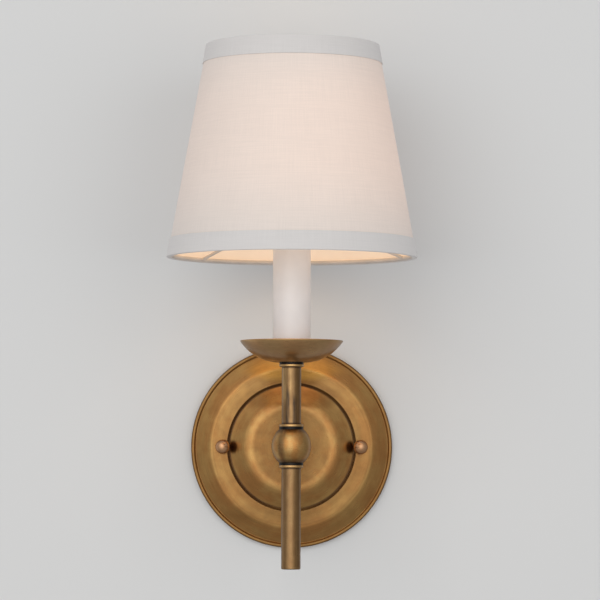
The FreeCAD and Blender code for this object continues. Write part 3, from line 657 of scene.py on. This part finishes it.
def make_tube(node, seat, direction, dark_ends, painted_runs=()):
    """A straight tube from its seat, brushed lengthwise, with patina at the ends that meet a collar."""
    low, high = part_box(node)
    length = abs((high - low).dot(direction))
    inner = TUBE_R - TUBE_WALL
    outline = [(inner, 0, 0), (TUBE_R, 0, FINE_EDGE), (TUBE_R, length, FINE_EDGE), (inner, length, 0)]
    start = seat.dot(direction)
    bands = [(start + end * length - 0.3 * MM, start + end * length + 0.3 * MM, 0.9 * MM, 0.7, PATINA)
             for end in dark_ends]
    brass = antique_brass(node + "_brass", direction, bands, brushed="long", painted_runs=painted_runs,
                          tones=(TUBE_GOLD, TUBE_BROWN))
    return carry(turned(node + "_drawn", outline, seat, direction), "fixture", node, brass)


def make_ball():
    """The ball: an ellipse r = R cos t, z = H sin t between its two end flats, its back pressed flat."""
    end_r = BEAD_R + SEAT_EDGE
    full = BALL_END / sqrt(1 - (end_r / BALL_R) ** 2)
    last = acos(end_r / BALL_R)
    turns = np.linspace(-last, last, BALL_RINGS)
    curve = np.stack([BALL_R * np.cos(turns), full * np.sin(turns)], 1)
    profile = np.concatenate([[[ROD_R, -BALL_END]], curve, [[ROD_R, BALL_END]]])
    points = turned_points(profile, STEM_FOOT, UP, AROUND)
    points[..., 1] = np.minimum(points[..., 1], span("centre_ball", 1)[1])
    ball = skin("centre_ball_turned", points, True, True)
    rim = BALL_END - 0.5 * MM
    bands = [(-BALL_END - MM, -rim, 2.6 * MM, 0.62, PATINA), (rim, BALL_END + MM, 2.6 * MM, 0.62, PATINA)]
    # A painted dark reflection runs down the left of the ball's front.
    brass = antique_brass("ball_brass", UP, bands, tones=(BALL_GOLD, BALL_BROWN),
                          painted_runs=[(-0.60, -0.42, -8 * MM, 8 * MM, 0.48, DARK_REFLECTION)])
    return carry(ball, "fixture", "centre_ball", brass)


def make_dish():
    """The drip dish: flat over the collar, then an arc tangent to it out to the rim."""
    low = span("drip_dish", 2)[0]
    rim_r = half_width("drip_dish")
    flat = BEAD_R + SEAT_EDGE
    run = rim_r - flat
    bend = (run ** 2 + DISH_RISE ** 2) / (2 * DISH_RISE)
    turns = np.linspace(0, np.arcsin(run / bend), DISH_RINGS)
    inner_bend = bend - DISH_WALL
    under = np.stack([flat + bend * np.sin(turns), bend * (1 - np.cos(turns))], 1)
    inner = np.stack([flat + inner_bend * np.sin(turns), bend - inner_bend * np.cos(turns)], 1)
    outward = np.array([sin(turns[-1]), -cos(turns[-1])])
    along = np.array([cos(turns[-1]), sin(turns[-1])])
    lip_centre = (under[-1] + inner[-1]) / 2 - along * DISH_WALL / 2
    lip_turns = np.linspace(0, pi, DISH_LIP_RINGS)[1:-1, None]
    lip = lip_centre + DISH_WALL / 2 * (np.cos(lip_turns) * outward + np.sin(lip_turns) * along)
    keep = under[:, 0] < rim_r - DISH_WALL * 0.6
    profile = np.concatenate([[[ROD_R, 0]], under[keep], lip, inner[keep][::-1], [[ROD_R, DISH_WALL]]])
    points = turned_points(profile, at_height(low), UP, AROUND_PLATE)
    dish = skin("drip_dish_spun", points, True, True)
    # Darker round the collar, and the rim painted bright as a highlight.
    bands = [(0.0, flat + 1.0 * MM, 6.0 * MM, 0.75, PATINA),
             (rim_r - 0.7 * MM, rim_r + MM, 0.5 * MM, 0.4, PAINTED_HIGHLIGHT)]
    brass = antique_brass("dish_brass", UP, bands, by="radius", tones=(DISH_GOLD, DISH_BROWN))
    return carry(dish, "fixture", "drip_dish", brass)


def make_ball_nut(node, body, material):
    """A polished ball nut on a short neck."""
    low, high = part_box(node)
    middle = NUT_NECK + sqrt(NUT_R ** 2 - NUT_NECK_R ** 2)
    turns = np.linspace(-acos(NUT_NECK_R / NUT_R), pi / 2, NUT_RINGS)
    curve = np.stack([NUT_R * np.cos(turns), middle + NUT_R * np.sin(turns)], 1)
    profile = np.concatenate([[[0, 0]], [[NUT_NECK_R, 0]], curve])
    seat = Vector(((low.x + high.x) / 2, high.y, 0))
    nut = skin(node + "_polished", turned_points(profile, seat, OUT, AROUND), False, True)
    return carry(nut, body, node, material)


def make_sleeve():
    """The candle sleeve, a thin tube with softened edges."""
    low, high = span("candle_sleeve", 2)
    r = half_width("candle_sleeve")
    inner, length = r - SLEEVE_WALL, high - low
    outline = [(inner, 0, EDGE), (r, 0, EDGE), (r, length, SLEEVE_ROUND), (inner, length, SLEEVE_ROUND)]
    return carry(turned("candle_sleeve_smooth", outline, at_height(low)), "fixture", "candle_sleeve",
                 satin_plastic("candle_white", SLEEVE_WHITE, 0.38))


def make_bulb():
    """The candle bulb: over its neck a cone, the belly sphere, a cone and the tip sphere, each tangent to
    the next."""
    low, high = span("bulb_glass", 2)
    belly = half_width("bulb_glass")
    rim = low + BULB_SKIRT
    tip_z = high - rim - BULB_TIP_R
    drop = BULB_BELLY_Z - BULB_NECK_Z
    first = acos(belly / hypot(BULB_NECK_R, drop)) - atan2(drop, BULB_NECK_R)
    last = np.arcsin((belly - BULB_TIP_R) / (tip_z - BULB_BELLY_Z))
    belly_turns = np.linspace(first, last, BELLY_RINGS)
    tip_turns = np.linspace(last, pi / 2, TIP_RINGS)
    held = half_width("bulb_cap") - CAP_INSET
    profile = np.concatenate([
        [[0, -BULB_SKIRT], [held, -BULB_SKIRT], [held, 0], [BULB_NECK_R, BULB_NECK_Z]],
        np.stack([belly * np.cos(belly_turns), BULB_BELLY_Z + belly * np.sin(belly_turns)], 1),
        np.stack([BULB_TIP_R * np.cos(tip_turns), tip_z + BULB_TIP_R * np.sin(tip_turns)], 1)])
    glass = skin("bulb_glass_blown", turned_points(profile, at_height(rim), UP, AROUND), False, True)
    glass.visible_shadow = False
    return carry(glass, "bulb", "bulb_glass", frosted_glass("frosted_glass"))


# ---- shade
def cone(name, outer_inset, thick, rows, wave, seam):
    """A thin cone between the shade's edges: outer radius R(z) = low radius + slope * z - inset, plus a
    slow wave of sines round and up it and a lapped seam, and the inner face one thickness further in."""
    turns = np.linspace(0, 2 * pi, AROUND_SHADE, endpoint=False)
    z = np.linspace(0, SHADE_H, rows)
    grid_z, grid_u = np.meshgrid(z, turns, indexing="ij")
    ripple = wave * (np.sin(3 * grid_u + 1.1 + 20 * grid_z) + 0.6 * np.sin(7 * grid_u - 2.0 - 34 * grid_z)
                     + 0.4 * np.sin(13 * grid_u + 0.4 + 55 * grid_z)) / 2
    past = (grid_u - SEAM_TURN) * SHADE_MEAN_R
    lap = seam * (past > 0) * np.clip((SEAM_LAP - past) / (SEAM_LAP * 0.3), 0, 1)
    outer = SHADE_LOW_R + SLOPE * grid_z - outer_inset + ripple + lap
    inner = SHADE_LOW_R + SLOPE * grid_z - outer_inset - thick
    r = np.concatenate([outer, inner[::-1]])
    heights = np.concatenate([grid_z, grid_z[::-1]]) + SHADE_LOW
    u_grid = np.concatenate([grid_u, grid_u])
    points = np.stack([r * np.cos(u_grid), LAMP_Y + r * np.sin(u_grid), heights], 2)
    across = np.linspace(0, 2 * pi, AROUND_SHADE + 1) * SHADE_MEAN_R
    slant = z * sqrt(1 + SLOPE ** 2)
    return skin(name, points, True, True, across, np.concatenate([slant, slant[::-1], slant[:1]]))


def ring_r(z):
    """The radius of a frame ring's centre line at a height over the shade's bottom edge."""
    wire_r = (span("top_ring", 2)[1] - span("top_ring", 2)[0]) / 2
    low_z = span("bottom_ring", 2)[0] - SHADE_LOW + wire_r
    return half_width("bottom_ring") - wire_r + SLOPE * (z - low_z)


def make_trim(node, at_top, material):
    """A folded band: up the outside of one edge, round it, and across to the frame ring."""
    low, high = span(node, 2)
    edge, way = (SHADE_H, -1) if at_top else (0, 1)
    fold, far = edge - way * TRIM_T, edge + way * (high - low - TRIM_T)

    def face(z):
        """The radius of the cover's outside, with its glue."""
        return SHADE_LOW_R + SLOPE * z + GLUE

    inner_end = ring_r(edge + way * FRAME_WIRE_R)
    profile = rounded([(face(edge), edge, TRIM_CORNER), (face(far), far, TRIM_CORNER),
                       (face(far) + TRIM_T, far, TRIM_EDGE_ROUND),
                       (face(fold) + TRIM_T, fold, TRIM_FOLD_ROUND),
                       (inner_end, fold, TRIM_END_ROUND), (inner_end, edge, TRIM_CORNER)])
    points = turned_points(profile, at_height(SHADE_LOW), UP, AROUND_SHADE)
    steps = np.linalg.norm(np.roll(profile, -1, 0) - profile, axis=1)
    across = np.linspace(0, 2 * pi, AROUND_SHADE + 1) * SHADE_MEAN_R
    trim = skin(node + "_folded", points, True, True, across, np.concatenate([[0], np.cumsum(steps)]))
    return carry(trim, "shade", node, material)


def make_ring(node, material):
    """A frame ring of round wire."""
    low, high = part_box(node)
    wire_r = (high.z - low.z) / 2
    r = (high.x - low.x) / 2 - wire_r
    turns = np.linspace(0, 2 * pi, AROUND_SHADE, endpoint=False)
    heights = np.full(AROUND_SHADE, low.z + wire_r)
    path = np.stack([r * np.cos(turns), LAMP_Y + r * np.sin(turns), heights], 1)
    ring = wire(node + "_wire", path, wire_r, np.array([0, 0, 1.0]), True)
    return carry(ring, "shade", node, material)


def make_arms(material):
    """Three bent wires, each a straight run up from the bottom ring, a bend and a run to the fitter ring."""
    start_z = FRAME_WIRE_R
    start_r = ring_r(start_z)
    bend_z = start_z + (start_r - ARM_BEND_R) * ARM_BEND_RISE
    end_z = span("fitter_ring", 2)[1] - SHADE_LOW + ARM_WELD_STAND
    end_r = half_width("fitter_ring") - ARM_WELD_LAP
    run = rounded([(start_r, start_z, 0), (ARM_BEND_R, bend_z, ARM_BEND_ROUND), (end_r, end_z, 0)],
                  closed=False)
    arms = []
    for azimuth in ARM_AZIMUTHS:
        turn = radians(90 - azimuth)
        spoke, steady = np.array([cos(turn), sin(turn), 0]), np.array([-sin(turn), cos(turn), 0])
        path = np.array(at_height(SHADE_LOW)) + run[:, :1] * spoke + run[:, 1:] * np.array([0, 0, 1.0])
        arms.append(wire("fitter_arm", path, ARM_R, steady, False))
    with bpy.context.temp_override(active_object=arms[0], selected_editable_objects=arms):
        bpy.ops.object.join()
    arms[0].name = "fitter_arms_wire"
    return carry(arms[0], "shade", "fitter_arms", material)


def make_fitter_ring(material):
    """The stamped ring that rests on the candle sleeve."""
    low, high = span("fitter_ring", 2)
    r, thick = half_width("fitter_ring"), high - low - TURNING_GAP
    outline = [(FITTER_BORE, 0, EDGE), (r, 0, EDGE), (r, thick, FITTER_ROUND),
               (FITTER_BORE, thick, FITTER_ROUND)]
    return carry(turned("fitter_ring_stamped", outline, at_height(low + TURNING_GAP)), "shade",
                 "fitter_ring", material)


def make_shade():
    """Cover, liner and trims, and the wire frame inside. Laid flat, the cover is a sector of a ring."""
    fabric = cone("shade_fabric_cover", 0, FABRIC_T, FABRIC_RINGS, COVER_WAVE, SEAM_T)
    carry(fabric, "shade", "shade_fabric", linen("shade_linen", COVER_WHITE, COVER_GLOW))
    liner = cone("shade_liner_sheet", FABRIC_T + LINER_PLAY, LINER_T - 2 * LINER_PLAY, LINER_RINGS, 0, 0)
    carry(liner, "shade", "shade_liner", lit_liner("shade_liner"))
    band = linen("shade_trim", TRIM_WHITE, None)
    trims = [make_trim("top_trim", True, band), make_trim("bottom_trim", False, band)]
    coated = satin_plastic("frame_wire", WIRE_GREY, 0.45, 0.12)
    make_ring("top_ring", coated)
    make_ring("bottom_ring", coated)
    make_arms(coated)
    make_fitter_ring(coated)


# ---- the light, piece by piece
# Painted reflections and shade in runs down the tubes' fronts: from and to across, as shares of the
# radius, from and to along, share, colour. Along is up from the ball's middle on the upper tube and down
# from it on the lower one.
UPPER_TUBE_PAINTED_RUNS = [
    # Painted dark reflections on both sides of the middle.
    (-0.50, -0.28, 12 * MM, 31 * MM, 0.85, DARK_REFLECTION),
    (0.22, 0.50, 12 * MM, 26 * MM, 0.8, DARK_REFLECTION),
    # Painted shade on the right.
    (0.45, 0.85, 12 * MM, 52 * MM, 0.5, WASH),
    # A painted reflection of the wall on the left edge.
    (-0.95, -0.60, 32 * MM, 52 * MM, 0.7, PAINTED_HIGHLIGHT),
    # A painted highlight near the middle.
    (-0.22, -0.08, 36 * MM, 48 * MM, 0.4, PAINTED_HIGHLIGHT),
]
# Painted shade on the lower tube's right.
LOWER_TUBE_PAINTED_SHADE = [(0.25, 0.75, 18 * MM, 76 * MM, 0.35, WASH)]
make_backplate()
make_collar("arm_rear_collar", Vector((0, span("arm_rear_collar", 1)[1], 0)), OUT)
make_collar("arm_front_collar", Vector((0, span("arm_front_collar", 1)[0], 0)), IN)
make_collar("upper_collar", at_height(span("upper_collar", 2)[0]), UP)
make_collar("lower_collar", at_height(span("lower_collar", 2)[1]), DOWN)
make_collar("dish_collar", at_height(span("dish_collar", 2)[1]), DOWN, DISH_COLLAR_NECK)
make_tube("arm_tube", Vector((0, span("arm_tube", 1)[1], 0)), OUT, (0, 1))
make_tube("upper_tube", at_height(span("upper_tube", 2)[0]), UP, (0, 1), UPPER_TUBE_PAINTED_RUNS)
make_tube("lower_tube", at_height(span("lower_tube", 2)[1]), DOWN, (0,), LOWER_TUBE_PAINTED_SHADE)
make_ball()
make_dish()
copper = copper_polish("ball_nut_copper")
make_ball_nut("left_ball_nut", "left_nut", copper)
make_ball_nut("right_ball_nut", "right_nut", copper)
make_sleeve()
make_bulb()
make_shade()

# Nodes that keep their own shape and only get a finish: hardware, threads, the socket and the tail cap.
STUD_PITCH, LAMP_PITCH, CAP_PITCH = 0.79 * MM, 0.94 * MM, 1.4 * MM
zinc = plain_metal("zinc_steel", ZINC, 0.34)
carried = {
    "mounting_strap": zinc, "stud_nuts": zinc, "arm_washer": zinc, "arm_lock_nut": zinc,
    "dish_lock_nut": zinc, "socket_bracket": zinc,
    "mounting_studs": plain_metal("stud_thread", ZINC, 0.34, STUD_PITCH, 1),
    "arm_nipple": plain_metal("nipple_thread", ZINC, 0.36, LAMP_PITCH, 1),
    "upper_rod": plain_metal("rod_thread", ZINC, 0.36, LAMP_PITCH, 2),
    "tail_cap": antique_brass("tail_brass", UP, brushed="long", tones=(TUBE_GOLD, TUBE_BROWN)),
    "ground_screw": plain_metal("green_screw", (0.05, 0.26, 0.10), 0.4),
    "socket_body": satin_plastic("socket_black", (0.035, 0.035, 0.035), 0.4),
    "socket_shell": plain_metal("shell_brass", (0.60, 0.42, 0.16), 0.3),
    "bulb_cap": plain_metal("cap_nickel", (0.66, 0.64, 0.60), 0.25, CAP_PITCH, 2),
    "bulb_insulator": satin_plastic("insulator_black", (0.03, 0.03, 0.035), 0.2),
}
carried["lower_rod"] = carried["upper_rod"]
carried["socket_contact"] = carried["socket_shell"]
carried["bulb_contact"] = carried["bulb_cap"]
for node, material in carried.items():
    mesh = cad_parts[node].data
    mesh.materials.clear()
    mesh.materials.append(material)


# ---- stage, light and camera
def flat(name, corners, material):
    """A stage sheet, which neither shades the light nor colours or mirrors in it."""
    mesh = bpy.data.meshes.new(name)
    mesh.from_pydata(corners, [], [(0, 1, 2, 3)])
    mesh.materials.append(material)
    piece = bpy.data.objects.new(name, mesh)
    bpy.context.scene.collection.objects.link(piece)
    piece.visible_shadow = False
    piece.visible_diffuse = False
    piece.visible_glossy = False


def pale(name, colour, clear_share):
    """A plain matt finish that is clear by a share, worked out on its own nodes."""
    backdrop = finish(name)
    matt = backdrop.add("ShaderNodeBsdfDiffuse", values={"Color": (*colour, 1)})
    clear = backdrop.add("ShaderNodeBsdfTransparent")
    share = clear_share(backdrop)
    return backdrop.done(backdrop.add("ShaderNodeMixShader", values={0: share, 1: matt, 2: clear}))


def seen_from_behind(backdrop):
    """1 on a sheet's back and 0 on its face."""
    return backdrop.add("ShaderNodeNewGeometry", output="Backfacing")


def far_out_or_from_behind(backdrop):
    """1 on the back, and on the face from 0 near the light up to 1 far out."""
    x, y, _ = backdrop.parts(backdrop.place())
    far = backdrop.step((x * x + y * y) ** 0.5, 0.35 * STAGE, 0.75 * STAGE)
    return backdrop.maths("MAXIMUM", far, seen_from_behind(backdrop))


WALL_WHITE, FLOOR_WHITE, BEYOND = (0.650, 0.655, 0.650), (0.80, 0.79, 0.78), (0.62, 0.61, 0.60)
wall_corners = [(-STAGE, WALL_Y, FLOOR_Z), (STAGE, WALL_Y, FLOOR_Z), (STAGE, WALL_Y, STAGE),
                (-STAGE, WALL_Y, STAGE)]
floor_corners = [(-STAGE, -STAGE, FLOOR_Z), (STAGE, -STAGE, FLOOR_Z), (STAGE, STAGE, FLOOR_Z),
                 (-STAGE, STAGE, FLOOR_Z)]
flat("wall", wall_corners, pale("wall_white", WALL_WHITE, seen_from_behind))
flat("floor", floor_corners, pale("floor_white", FLOOR_WHITE, far_out_or_from_behind))

# Polished metal mirrors a room that is bright in front and above, and the pale wall behind both sides.
world = bpy.data.worlds.new("studio")
bpy.context.scene.world = world
sky = Finish(world)
toward_x, toward_y, toward_z = sky.parts(sky.add("ShaderNodeTexCoord", output="Generated"))
room = sky.add("ShaderNodeValToRGB", {"stops": [
    (0.0, (0.36, 0.35, 0.34)), (0.30, (0.28, 0.27, 0.26)), (0.43, (0.32, 0.31, 0.30)),
    (0.57, (0.40, 0.39, 0.38)), (0.70, (0.45, 0.44, 0.43)), (0.78, (0.56, 0.55, 0.54)),
    (0.84, (0.72, 0.71, 0.69)), (0.90, (1.03, 1.01, 0.99)), (0.96, (1.38, 1.35, 1.31)),
    (0.985, (1.62, 1.58, 1.52)), (1.0, (1.95, 1.90, 1.82))]},
    {0: toward_z * 0.15 - toward_y * 0.485 - toward_x * 0.055 + 0.5})
beside = sky.step(abs(toward_x), 0.5, 0.85) * sky.step(toward_y - toward_x * 0.3, 0.1, 0.5)
room = sky.mix(beside, room, BEYOND)
rays = [sky.add("ShaderNodeLightPath", output=name) for name in ("Is Camera Ray", "Is Glossy Ray")]
soft = sky.add("ShaderNodeBackground", values={"Color": (0.62, 0.62, 0.63, 1), "Strength": 1.0})
mirror = sky.add("ShaderNodeBackground", values={"Color": room, "Strength": 1.0})
beyond = sky.add("ShaderNodeBackground", values={"Color": (*BEYOND, 1), "Strength": 1.0})
light = sky.add("ShaderNodeMixShader", values={0: rays[1], 1: soft, 2: mirror})
light = sky.add("ShaderNodeMixShader", values={0: rays[0], 1: light, 2: beyond})
sky.add("ShaderNodeOutputWorld", values={"Surface": light})


def soft_light(name, place, size, energy, colour):
    """A round soft lamp aimed at the light's middle, which metal doesn't mirror."""
    lamp = bpy.data.lights.new(name, "AREA")
    lamp.shape = "DISK"
    lamp.size, lamp.energy, lamp.color = size, energy, colour
    holder = bpy.data.objects.new(name, lamp)
    bpy.context.scene.collection.objects.link(holder)
    holder.location = place
    aim = Vector((0, LAMP_Y, LIGHT_AIM_Z))
    holder.rotation_euler = (aim - Vector(place)).to_track_quat("-Z", "Y").to_euler()
    holder.visible_glossy = False


soft_light("key", (-0.85, -2.2, 0.65), size=2.2, energy=19.5, colour=(1.0, 0.99, 0.975))
soft_light("fill", (1.2, -2.0, 0.3), size=1.6, energy=7.5, colour=(1.0, 0.99, 0.98))

glow = bpy.data.lights.new("bulb_light", "POINT")
glow.energy = 0.062
glow.color = (1.0, 0.74, 0.50)
glow.shadow_soft_size = 14 * MM
glow_holder = bpy.data.objects.new("bulb_light", glow)
bpy.context.scene.collection.objects.link(glow_holder)
glow_holder.location = at_height(BULB_Z)

view = bpy.data.cameras.new("camera")
view.sensor_width = SENSOR
view.lens = LENS
camera = bpy.data.objects.new("camera", view)
bpy.context.scene.collection.objects.link(camera)
camera.matrix_world = (Matrix.Translation(CAMERA) @ Matrix.Rotation(PITCH, 4, "X")
                       @ Matrix.Rotation(ROLL, 4, "Z"))
bpy.context.scene.camera = camera
bpy.context.scene.view_settings.view_transform = "Standard"
